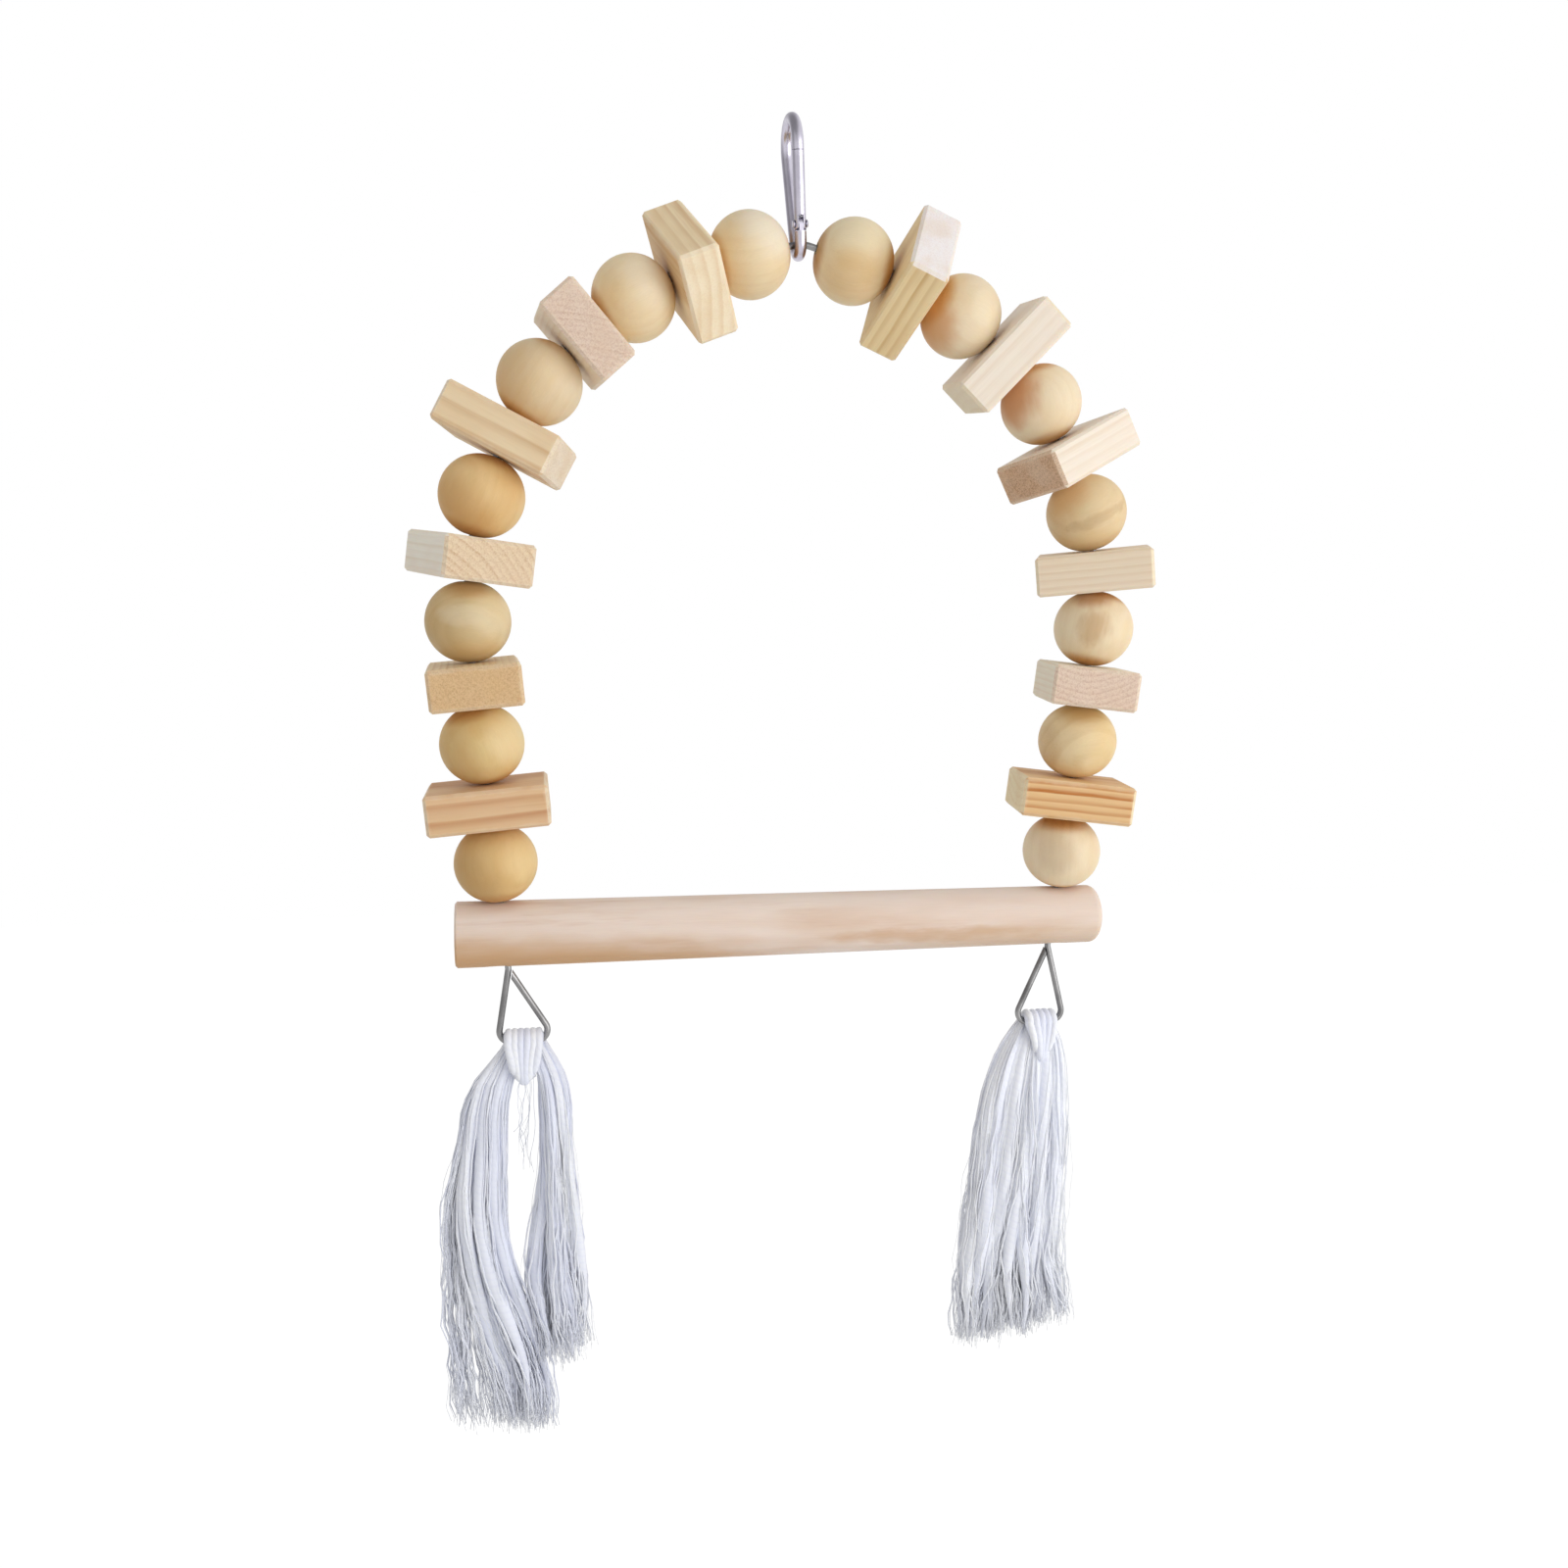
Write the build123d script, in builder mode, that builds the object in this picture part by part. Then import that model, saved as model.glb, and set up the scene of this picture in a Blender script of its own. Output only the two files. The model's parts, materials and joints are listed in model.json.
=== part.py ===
from build123d import *
import os
from math import asin, cos, pi, radians, sin, sqrt, tan

# Bird swing: a steel wire arch strung with wooden beads and blocks, hung from a spring clip,
# with a wooden perch across its legs and a cotton tassel hitched to the wire eye below each end.
# Millimetres, +Z up, +X along the perch, -Y towards the viewer. The origin is the point inside
# the top of the clip where a hook or cage bar carries the swing.

# Spring clip: a round bar bent to a pear, lying across the wire of the arch
clip_bar_diameter = 3.5
clip_top_radius = 8.0
clip_wire_room = 1.25
clip_bend_spacing = 25.5
clip_lean_deg = 5.0
nose_straight = 1.0
lap_length = 2.0
lap_gap = 0.2
pivot_rise = 4.4
shoulder_gap = 0.2
gate_open_deg = 28.0

# Gate pivot: a tang with an off-centre round end, a fork, a rivet, a plunger and its spring
tang_thickness = 1.3
fork_side_gap = 0.1
cam_radius = 1.9
cam_offset = 0.6
fork_end_gap = 0.25
rivet_diameter = 1.2
rivet_gap = 0.05
rivet_head_overhang = 0.5
rivet_head_height = 0.45
plunger_diameter = 1.2
plunger_length = 4.0
plunger_gap = 0.1
plunger_seat_gap = 0.05
spring_wire_diameter = 0.22
spring_length_share = 0.5
spring_turn_count = 5
spring_side_count = 6
spring_end_gap = 0.1

# Wire: crown under the clip, sloping shoulders, round arch, legs that lean in to the perch
wire_diameter = 2.0
wire_seat_gap = 0.15
clip_shift = 1.2
crown_radius = 10.0
crown_slope_deg = 15.0
shoulder_length = 21.5
arch_radius = 104.2
leg_lean_deg = 5.6

# Beads and blocks, threaded from the crown down to the perch
bead_diameter = 25.0
bead_length = 23.7
bead_count = 7
block_length = 36.0
block_width = 27.0
block_thickness = 12.4
block_edge_chamfer = 0.9
stack_gap = 0.15
stack_tolerance_share = 0.001
bare_wire = 1.7
bore_gap = 0.25
left_block_turns_deg = (-56, 93, -14, -69, 92, -1)
right_block_turns_deg = (55, 7, -22, 23, -78, 9)

# Perch: a turned stick, thicker at its left end, level along its top
perch_left_diameter = 20.2
perch_right_diameter = 18.8
perch_overhang = 14.5
perch_left_chamfer = 0.6
perch_right_round = 2.6
perch_hole_gap = 0.25

# Wire eyes below the perch
eye_drop = 1.2
left_eye_height = 23.4
right_eye_height = 26.0
eye_base = 18.0
left_eye_skew = 5.5
right_eye_skew = 2.0
eye_corner_radius = 3.5
eye_neck_radius = 3.0
eye_tip_gap = 0.25
eye_end_length = 1.0

# Cotton tassels: a hitch round the base of the eye, and two hanging legs of gathered yarn
hitch_corner_share = 0.6
hitch_diameter = 10.4
hitch_end_diameter = 8.0
hitch_bore_gap = 0.3
band_width = 10.5
band_run = 5.5
band_depth = 4.0
band_proud = 0.5
band_drop = 5.2
lock_count = 7
lock_valley_share = 0.84
lock_twist_deg = 14.0
left_outer_leg_length = 127.0
left_inner_leg_length = 105.0
right_inner_leg_length = 113.0
right_outer_leg_length = 106.0
leg_spread = 20.0
leg_depth = 14.0
hem_notch_depth = 13.0
hem_notch_width = 4.0

cut_overrun = 2.0

# Stations of each leg from its hitch down, as shares: of the leg's length, then sideways place and
# width as shares of the spread, and depth as a share of the leg's depth
left_outer_leg_shares = (
    (0.03, -0.15, 0.34, 0.50),
    (0.12, -0.46, 0.54, 0.66),
    (0.43, -0.78, 0.98, 0.92),
    (0.75, -0.70, 1.22, 1.00),
    (1.00, -0.46, 1.46, 0.72),
)
left_inner_leg_shares = (
    (0.03, 0.15, 0.34, 0.50),
    (0.14, 0.44, 0.50, 0.66),
    (0.50, 0.50, 0.80, 0.86),
    (0.80, 0.53, 0.94, 0.90),
    (1.00, 0.55, 0.90, 0.66),
)
right_inner_leg_shares = (
    (0.03, -0.15, 0.34, 0.50),
    (0.14, -0.46, 0.74, 0.66),
    (0.45, -0.72, 1.00, 0.92),
    (0.75, -0.79, 1.10, 1.00),
    (1.00, -0.82, 1.16, 0.72),
)
right_outer_leg_shares = (
    (0.03, 0.15, 0.34, 0.50),
    (0.14, 0.16, 0.68, 0.66),
    (0.45, 0.03, 0.90, 0.86),
    (0.75, 0.05, 0.97, 0.90),
    (1.00, 0.12, 1.12, 0.66),
)
hem_notch_shares = (-0.24, 0.20)

os.makedirs("parts", exist_ok=True)


def write(piece, name):
    """Labels one finished piece and writes it under that name."""
    piece.part.label = name
    export_step(piece.part, f"parts/{name}.step")


# Clip geometry, in the plane of the clip: first axis to the back, second axis up the clip
bar_radius = clip_bar_diameter / 2
wire_radius = wire_diameter / 2
clip_bottom_radius = bar_radius + wire_radius + clip_wire_room
clip_lean = radians(clip_lean_deg)
clip_plane = Plane(origin=(0, 0, 0), x_dir=(0, 1, 0), z_dir=(cos(clip_lean), 0, sin(clip_lean)))
top_bend = Vector(0, bar_radius - clip_top_radius)
bottom_bend = top_bend - Vector(0, clip_bend_spacing)
side_slope = asin((clip_top_radius - clip_bottom_radius) / clip_bend_spacing)
front_normal = Vector(-cos(side_slope), -sin(side_slope))
back_normal = Vector(cos(side_slope), -sin(side_slope))
gate_up = Vector(-sin(side_slope), cos(side_slope))
front_top = top_bend + front_normal * clip_top_radius
front_bottom = bottom_bend + front_normal * clip_bottom_radius
back_top = top_bend + back_normal * clip_top_radius
back_bottom = bottom_bend + back_normal * clip_bottom_radius
pivot = front_bottom + gate_up * pivot_rise
nose_end = front_top - gate_up * nose_straight
gate_rise = (nose_end - pivot).length
shoulder = bar_radius + shoulder_gap


def on_clip(point):
    """Place in the part's frame of a point in the plane of the clip."""
    return clip_plane.from_local_coords(point)


# Plane of the gate: origin on the pivot, first axis into the clip, second axis up the gate
gate_plane = Plane(
    origin=on_clip(pivot),
    x_dir=on_clip(front_normal * -1),
    z_dir=clip_plane.z_dir,
)


def across_gate(rise):
    """Plane square to the gate, at a height above its pivot."""
    return Plane(
        origin=gate_plane.from_local_coords(Vector(0, rise)),
        x_dir=gate_plane.x_dir,
        z_dir=gate_plane.y_dir,
    )


# Height of the plunger's round tip centre above the pivot, where it bears on the off-centre tang
plunger_radius = plunger_diameter / 2
gate_open = radians(gate_open_deg)


def tip_height(angle):
    """Tip centre of the plunger with the gate opened by an angle."""
    reach = cam_radius + plunger_radius
    return cam_offset * sin(angle) + sqrt(reach**2 - (cam_offset * cos(angle)) ** 2)


plunger_lift = tip_height(gate_open) - tip_height(0)
tip_centre = tip_height(0) + plunger_seat_gap
plunger_top = tip_centre + plunger_length
spring_foot = plunger_top + spring_end_gap
spring_length = (gate_rise - plunger_top) * spring_length_share
gate_bore_end = spring_foot + spring_length + spring_end_gap
gate_bore_radius = plunger_radius + plunger_gap
fork_depth = cam_radius + cam_offset * sin(gate_open) + fork_end_gap

# Clip body: the bent bar, its lapped nose, and the thin tang for the gate
with BuildPart() as clip_body:
    with BuildLine() as clip_path:
        Line(on_clip(nose_end), on_clip(front_top))
        top_middle = top_bend + Vector(0, clip_top_radius)
        ThreePointArc(on_clip(front_top), on_clip(top_middle), on_clip(back_top))
        Line(on_clip(back_top), on_clip(back_bottom))
        bottom_middle = bottom_bend - Vector(0, clip_bottom_radius)
        ThreePointArc(on_clip(back_bottom), on_clip(bottom_middle), on_clip(front_bottom))
        Line(on_clip(front_bottom), on_clip(pivot - gate_up * shoulder))
    with BuildSketch(across_gate(gate_rise)):
        Circle(bar_radius)
    sweep(path=clip_path.line)
    with BuildSketch(gate_plane):
        with Locations((0, gate_rise)):
            Rectangle(clip_bar_diameter, lap_length, align=(Align.MIN, Align.MIN))
    extrude(amount=clip_bar_diameter, both=True, mode=Mode.SUBTRACT)
    with BuildSketch(gate_plane):
        with Locations((cam_offset, 0)):
            Circle(cam_radius)
        with Locations((0, -shoulder)):
            Rectangle(clip_bar_diameter, shoulder, align=(Align.CENTER, Align.MIN))
    extrude(amount=tang_thickness / 2, both=True)
    with BuildSketch(gate_plane):
        Circle(rivet_diameter / 2 + rivet_gap)
    extrude(amount=tang_thickness, both=True, mode=Mode.SUBTRACT)
write(clip_body, "clip_body")

# Gate: a round bar, forked over the tang, bored for its spring, with a tongue behind the nose
with BuildPart() as clip_gate:
    with BuildSketch(across_gate(-bar_radius)):
        Circle(bar_radius)
    extrude(amount=bar_radius + gate_rise + lap_length - lap_gap)
    with BuildSketch(gate_plane):
        Circle(bar_radius)
        Rectangle(clip_bar_diameter, gate_rise + lap_length, align=(Align.CENTER, Align.MIN))
    extrude(amount=clip_bar_diameter, both=True, mode=Mode.INTERSECT)
    with BuildSketch(gate_plane):
        with Locations((0, fork_depth)):
            Rectangle(
                clip_bar_diameter + cut_overrun,
                fork_depth + clip_bar_diameter,
                align=(Align.CENTER, Align.MAX),
            )
    extrude(amount=tang_thickness / 2 + fork_side_gap, both=True, mode=Mode.SUBTRACT)
    with BuildSketch(across_gate(0)):
        Circle(gate_bore_radius)
    extrude(amount=gate_bore_end, mode=Mode.SUBTRACT)
    with BuildSketch(gate_plane):
        Circle(rivet_diameter / 2 + rivet_gap)
    extrude(amount=clip_bar_diameter, both=True, mode=Mode.SUBTRACT)
    with BuildSketch(gate_plane):
        with Locations((lap_gap, gate_rise - lap_gap)):
            Rectangle(clip_bar_diameter, lap_length + lap_gap, align=(Align.MAX, Align.MIN))
    extrude(amount=clip_bar_diameter, both=True, mode=Mode.SUBTRACT)
write(clip_gate, "clip_gate")

# Rivet: a shank through fork and tang, with a low rounded head on each cheek
with BuildPart() as gate_rivet:
    with BuildSketch(gate_plane.offset(bar_radius + rivet_gap)):
        Circle(rivet_diameter / 2 + rivet_head_overhang)
    extrude(amount=rivet_head_height)
    rivet_axis = Axis(gate_plane.origin, gate_plane.z_dir)
    chamfer(gate_rivet.faces().sort_by(rivet_axis)[-1].edges(), rivet_head_height / 2)
    mirror(about=gate_plane)
    with BuildSketch(gate_plane):
        Circle(rivet_diameter / 2)
    extrude(amount=bar_radius + rivet_head_height / 2, both=True)
write(gate_rivet, "gate_rivet")

# Plunger: a short pin with a round tip, pushed down on the tang by the spring
with BuildPart() as gate_plunger:
    with BuildSketch(gate_plane):
        with BuildLine():
            Polyline((0, plunger_top), (plunger_radius, plunger_top), (plunger_radius, tip_centre))
            RadiusArc((plunger_radius, tip_centre), (0, tip_centre - plunger_radius), plunger_radius)
            Line((0, tip_centre - plunger_radius), (0, plunger_top))
        make_face()
    revolve(axis=Axis(gate_plane.origin, gate_plane.y_dir))
write(gate_plunger, "gate_plunger")

# Spring: an open coil in the gate, between the plunger and the end of the bore
spring_radius = plunger_radius - spring_wire_diameter / 2
spring_rise = spring_length - spring_wire_diameter
with BuildPart() as gate_spring:
    with BuildLine() as spring_path:
        Helix(
            pitch=spring_rise / spring_turn_count,
            height=spring_rise,
            radius=spring_radius,
            center=gate_plane.from_local_coords(Vector(0, spring_foot + spring_wire_diameter / 2)),
            direction=gate_plane.y_dir,
        )
    with BuildSketch(Plane(origin=spring_path.line @ 0, z_dir=spring_path.line % 0)):
        RegularPolygon(spring_wire_diameter / 2, spring_side_count)
    sweep(path=spring_path.line, is_frenet=True)
write(gate_spring, "gate_spring")

# Wire geometry: distances along each side of the arch count from the sharp corner of the crown
crown_slope = radians(crown_slope_deg)
leg_heading = pi / 2 + radians(leg_lean_deg)
arch_turn = leg_heading - crown_slope
arch_tangent = arch_radius * tan(arch_turn / 2)
crown_tangent = crown_radius * tan(crown_slope)
foot = on_clip(bottom_bend - Vector(0, clip_wire_room - wire_seat_gap))
crown_rise = crown_radius / cos(crown_slope) - sqrt(crown_radius**2 - clip_shift**2)
crown = Vector(foot.X + clip_shift, 0, foot.Z + crown_rise)


def wire_station(distance):
    """Sideways reach, height and heading of the wire, at a distance from the crown."""
    on_arch = min(max(distance - shoulder_length, 0), arch_radius * arch_turn)
    on_shoulder = min(distance, shoulder_length)
    on_leg = max(distance - shoulder_length - arch_radius * arch_turn, 0)
    heading = crown_slope + on_arch / arch_radius
    reach = (
        on_shoulder * cos(crown_slope)
        + arch_radius * (sin(heading) - sin(crown_slope))
        + on_leg * cos(leg_heading)
    )
    drop = (
        on_shoulder * sin(crown_slope)
        + arch_radius * (cos(crown_slope) - cos(heading))
        + on_leg * sin(leg_heading)
    )
    return reach, crown.Z - drop, heading


def piece_plane(side, distance, turn_deg=0):
    """Plane square to the wire on one side, its first axis turned from the outward direction."""
    reach, height, heading = wire_station(distance)
    along = Vector(side * cos(heading), 0, -sin(heading))
    outward = Vector(side * sin(heading), 0, cos(heading))
    turn = radians(turn_deg)
    first = outward * cos(turn) - Vector(0, sin(turn), 0)
    return Plane(origin=(crown.X + side * reach, 0, height), x_dir=first, z_dir=along)


# A bead's outline is an arc through its length and its diameter, turned about the bore
bead_arc_radius = (bead_diameter**2 + bead_length**2) / (4 * bead_diameter)
bead_arc_offset = bead_diameter / 2 - bead_arc_radius


def bead_reach(angle):
    """Reach of a bead from its centre, in a direction at an angle to its bore."""
    return bead_arc_radius + bead_arc_offset * abs(sin(angle))


def seat(bead_at, block_at):
    """Gap between a bead and the face of a block beside it on the wire."""
    bead_x, bead_z, bead_heading = wire_station(bead_at)
    block_x, block_z, block_heading = wire_station(block_at)
    apart = (block_x - bead_x) * cos(block_heading) - (block_z - bead_z) * sin(block_heading)
    return abs(apart) - block_thickness / 2 - bead_reach(block_heading - bead_heading)


def next_station(start, gap_at):
    """First distance past a start where the gap to the piece before it is the stack gap."""
    low, high = start, start + bead_length + block_thickness
    while high - low > stack_gap * stack_tolerance_share:
        middle = (low + high) / 2
        if gap_at(middle) < stack_gap:
            low = middle
        else:
            high = middle
    return high


bead_stations = [crown_tangent + bare_wire + bead_length / 2]
block_stations = []
for _ in range(bead_count - 1):
    bead_at = bead_stations[-1]
    block_stations.append(next_station(bead_at, lambda place: seat(bead_at, place)))
    block_at = block_stations[-1]
    bead_stations.append(next_station(block_at, lambda place: seat(place, block_at)))

# The bore clears the wire where the arch curves through a straight hole
bore_radius = wire_radius + (bead_length / 2) ** 2 / (2 * arch_radius) + bore_gap


def bead(name, side, distance):
    """One flattened ball, bored along the wire."""
    mouth = sqrt(bead_arc_radius**2 - (bore_radius - bead_arc_offset) ** 2)
    across = piece_plane(side, distance)
    profile_plane = Plane(origin=across.origin, x_dir=across.x_dir, z_dir=across.y_dir * -1)
    with BuildPart() as ball:
        with BuildSketch(profile_plane):
            with BuildLine():
                ThreePointArc((bore_radius, -mouth), (bead_diameter / 2, 0), (bore_radius, mouth))
                Line((bore_radius, mouth), (bore_radius, -mouth))
            make_face()
        revolve(axis=Axis(across.origin, across.z_dir))
    write(ball, name)


def block(name, side, distance, turn_deg):
    """One flat block with eased edges, bored through its thickness."""
    with BuildPart(piece_plane(side, distance, turn_deg)) as cuboid:
        Box(block_length, block_width, block_thickness)
        chamfer(cuboid.edges(), block_edge_chamfer)
        Hole(bore_radius)
    write(cuboid, name)


sides = {"left": -1, "right": 1}
block_turns = {"left": left_block_turns_deg, "right": right_block_turns_deg}
for side_name, side in sides.items():
    for index, distance in enumerate(bead_stations, start=1):
        bead(f"{side_name}_bead_{index}", side, distance)
    for index, distance in enumerate(block_stations, start=1):
        turns_deg = block_turns[side_name]
        turn_deg = turns_deg[(index - 1) % len(turns_deg)]
        block(f"{side_name}_block_{index}", side, distance, turn_deg)

# Perch: its top is level, one stack gap below the lowest beads
last_reach, last_height, _ = wire_station(bead_stations[-1])
perch_top = last_height - bead_reach(radians(leg_lean_deg)) - stack_gap


def leg_reach(height):
    """Sideways reach of the leg's centre line at a height below the last bead."""
    return last_reach - (last_height - height) * tan(radians(leg_lean_deg))


perch_diameters = {"left": perch_left_diameter, "right": perch_right_diameter}
perch_ends = {}
for side_name, side in sides.items():
    hole_reach = leg_reach(perch_top - perch_diameters[side_name] / 2)
    perch_ends[side_name] = crown.X + side * (hole_reach + perch_overhang)

perch_start = Vector(perch_ends["left"], 0, perch_top - perch_left_diameter / 2)
perch_stop = Vector(perch_ends["right"], 0, perch_top - perch_right_diameter / 2)
perch_length = (perch_stop - perch_start).length
perch_plane = Plane(origin=perch_start, x_dir=perch_stop - perch_start, z_dir=(0, -1, 0))

with BuildPart() as perch:
    with BuildSketch(perch_plane):
        with BuildLine():
            Polyline(
                (0, 0),
                (0, perch_left_diameter / 2),
                (perch_length, perch_right_diameter / 2),
                (perch_length, 0),
                close=True,
            )
        make_face()
    revolve(axis=Axis(perch_start, perch_plane.x_dir))
    ends = perch.faces().filter_by(GeomType.PLANE).sort_by(Axis.X)
    chamfer(ends[0].edges(), perch_left_chamfer)
    ends = perch.faces().filter_by(GeomType.PLANE).sort_by(Axis.X)
    fillet(ends[-1].edges(), perch_right_round)
    for side_name, side in sides.items():
        hole_start = (crown.X + side * leg_reach(perch_top), 0, perch_top)
        with BuildSketch(Plane(origin=hole_start, z_dir=piece_plane(side, bead_stations[-1]).z_dir)):
            Circle(wire_radius + perch_hole_gap)
        hole_length = perch_diameters[side_name] + cut_overrun
        extrude(amount=hole_length, both=True, mode=Mode.SUBTRACT)
write(perch, "perch")

# Wire eyes: neck under the perch, two base corners, and the end that comes back to the neck
eye_skews = {"left": left_eye_skew, "right": right_eye_skew}
eye_heights = {"left": left_eye_height, "right": right_eye_height}


def eye_points(side_name):
    """Neck, outer corner and inner corner of one eye, and where the cut end starts."""
    side = sides[side_name]
    neck_z = perch_top - perch_diameters[side_name] - eye_drop
    neck = Vector(crown.X + side * leg_reach(neck_z), 0, neck_z)
    outer = neck + Vector(side * (eye_base / 2 - eye_skews[side_name]), 0, -eye_heights[side_name])
    inner = neck - Vector(side * (eye_base / 2 + eye_skews[side_name]), 0, eye_heights[side_name])
    spread = radians((outer - neck).get_angle(inner - neck))
    short = (eye_tip_gap + wire_radius * (1 + cos(spread))) / sin(spread)
    tip = neck + (inner - neck).normalized() * (short + eye_end_length)
    return neck, outer, inner, tip


def wire_shoulder(side):
    """Sharp corner between shoulder and leg, which the arch rounds."""
    run = shoulder_length + arch_tangent
    return crown + Vector(side * run * cos(crown_slope), 0, -run * sin(crown_slope))


with BuildPart() as wire_frame:
    # The last stretch of each end is cut along the neck that it comes back to
    for side_name in sides:
        neck, outer, inner, tip = eye_points(side_name)
        with BuildSketch(Plane(origin=tip, z_dir=neck - tip)):
            Circle(wire_radius)
        extrude(amount=(neck - tip).length)
        with BuildSketch(Plane(origin=neck, x_dir=outer - neck, z_dir=(0, -1, 0))):
            Rectangle(eye_heights[side_name], wire_diameter + 2 * eye_tip_gap)
        extrude(amount=wire_diameter, both=True, mode=Mode.SUBTRACT)
    left_neck, left_outer, left_inner, left_tip = eye_points("left")
    right_neck, right_outer, right_inner, right_tip = eye_points("right")
    with BuildLine() as wire_path:
        FilletPolyline(
            left_tip,
            left_inner,
            left_outer,
            left_neck,
            wire_shoulder(-1),
            crown,
            wire_shoulder(1),
            right_neck,
            right_outer,
            right_inner,
            right_tip,
            radius=[
                eye_corner_radius,
                eye_corner_radius,
                eye_neck_radius,
                arch_radius,
                crown_radius,
                arch_radius,
                eye_neck_radius,
                eye_corner_radius,
                eye_corner_radius,
            ],
        )
    with BuildSketch(Plane(origin=wire_path.line @ 0, z_dir=wire_path.line % 0)):
        Circle(wire_radius)
    sweep(path=wire_path.line)
write(wire_frame, "wire_frame")


def hitch_seat(side_name):
    """Middle and length of the straight stretch of an eye's base."""
    neck, outer, inner, _ = eye_points(side_name)
    along = (inner - outer).normalized()
    outer_turn = radians((outer - neck).get_angle(along))
    inner_turn = radians(along.get_angle(neck - inner))
    start = outer + along * eye_corner_radius * tan(outer_turn / 2)
    end = inner - along * eye_corner_radius * tan(inner_turn / 2)
    return (start + end) / 2, (end - start).length


def lock_outline(half_width, half_depth, phase):
    """Crest and valley of each gathered lock round an oval."""
    points = []
    for step in range(2 * lock_count):
        share = lock_valley_share if step % 2 else 1
        angle = pi * step / lock_count + phase
        points.append((half_width * share * cos(angle), half_depth * share * sin(angle)))
    return points


def tassel(side_name, legs):
    """One cotton tassel: hitch, front band and two legs with a notched hem."""
    centre, seat_length = hitch_seat(side_name)
    base_axis = Axis(centre, (1, 0, 0))
    across = Plane(origin=centre, x_dir=(1, 0, 0), z_dir=(0, -1, 0))
    half = seat_length / 2 + eye_corner_radius * hitch_corner_share
    end_radius = hitch_end_diameter / 2
    with BuildPart() as fringe:
        with BuildSketch(across):
            with BuildLine():
                ThreePointArc((-half, end_radius), (0, hitch_diameter / 2), (half, end_radius))
                Polyline((half, end_radius), (half, 0), (-half, 0), (-half, end_radius))
            make_face()
        revolve(axis=base_axis)
        with BuildSketch(across.offset(hitch_diameter / 2 + band_proud)):
            with Locations((0, -band_drop)):
                SlotCenterToCenter(band_run, band_width, rotation=90)
        extrude(amount=-band_depth)
        for leg_length, leg_shares in legs:
            for order, (drop_share, side_share, width_share, depth_share) in enumerate(leg_shares):
                section_centre = centre + Vector(leg_spread * side_share, 0, -leg_length * drop_share)
                half_width = leg_spread * width_share / 2
                half_depth = leg_depth * depth_share / 2
                with BuildSketch(Plane(origin=section_centre, z_dir=(0, 0, 1))):
                    with BuildLine():
                        twist = radians(lock_twist_deg * order)
                        Polyline(*lock_outline(half_width, half_depth, twist), close=True)
                    make_face()
            loft(ruled=True)
            hem = centre + Vector(leg_spread * leg_shares[-1][1], 0, -leg_length)
            with BuildSketch(Plane(origin=hem, x_dir=(1, 0, 0), z_dir=(0, -1, 0))):
                for notch_share in hem_notch_shares:
                    middle = leg_spread * leg_shares[-1][2] * notch_share
                    with BuildLine():
                        Polyline(
                            (middle - hem_notch_width / 2, -cut_overrun),
                            (middle, hem_notch_depth),
                            (middle + hem_notch_width / 2, -cut_overrun),
                            close=True,
                        )
                    make_face()
            extrude(amount=leg_depth, both=True, mode=Mode.SUBTRACT)
        with BuildSketch(across):
            bore = wire_radius + hitch_bore_gap
            corner_rise = eye_corner_radius * (1 - sqrt(1 - hitch_corner_share**2))
            mouth = bore + corner_rise + hitch_bore_gap
            with BuildLine():
                ThreePointArc((-half, mouth), (0, bore), (half, mouth))
                Polyline(
                    (half, mouth),
                    (half + cut_overrun, mouth),
                    (half + cut_overrun, 0),
                    (-half - cut_overrun, 0),
                    (-half - cut_overrun, mouth),
                    (-half, mouth),
                )
            make_face()
        revolve(axis=base_axis, mode=Mode.SUBTRACT)
    write(fringe, f"{side_name}_tassel")


tassel(
    "left",
    (
        (left_outer_leg_length, left_outer_leg_shares),
        (left_inner_leg_length, left_inner_leg_shares),
    ),
)
tassel(
    "right",
    (
        (right_inner_leg_length, right_inner_leg_shares),
        (right_outer_leg_length, right_outer_leg_shares),
    ),
)

# Places that a user of the part needs
print("swing axis", foot, "gate pivot", gate_plane.origin, "gate axis", gate_plane.z_dir)
print("gate direction", gate_plane.y_dir, "plunger lift", plunger_lift, "at", gate_open)
print("hitch seats", hitch_seat("left"), hitch_seat("right"))
print("stations", bead_stations, block_stations)
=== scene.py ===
import json
import math

import bpy
import numpy as np
from mathutils import Matrix, Vector


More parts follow.
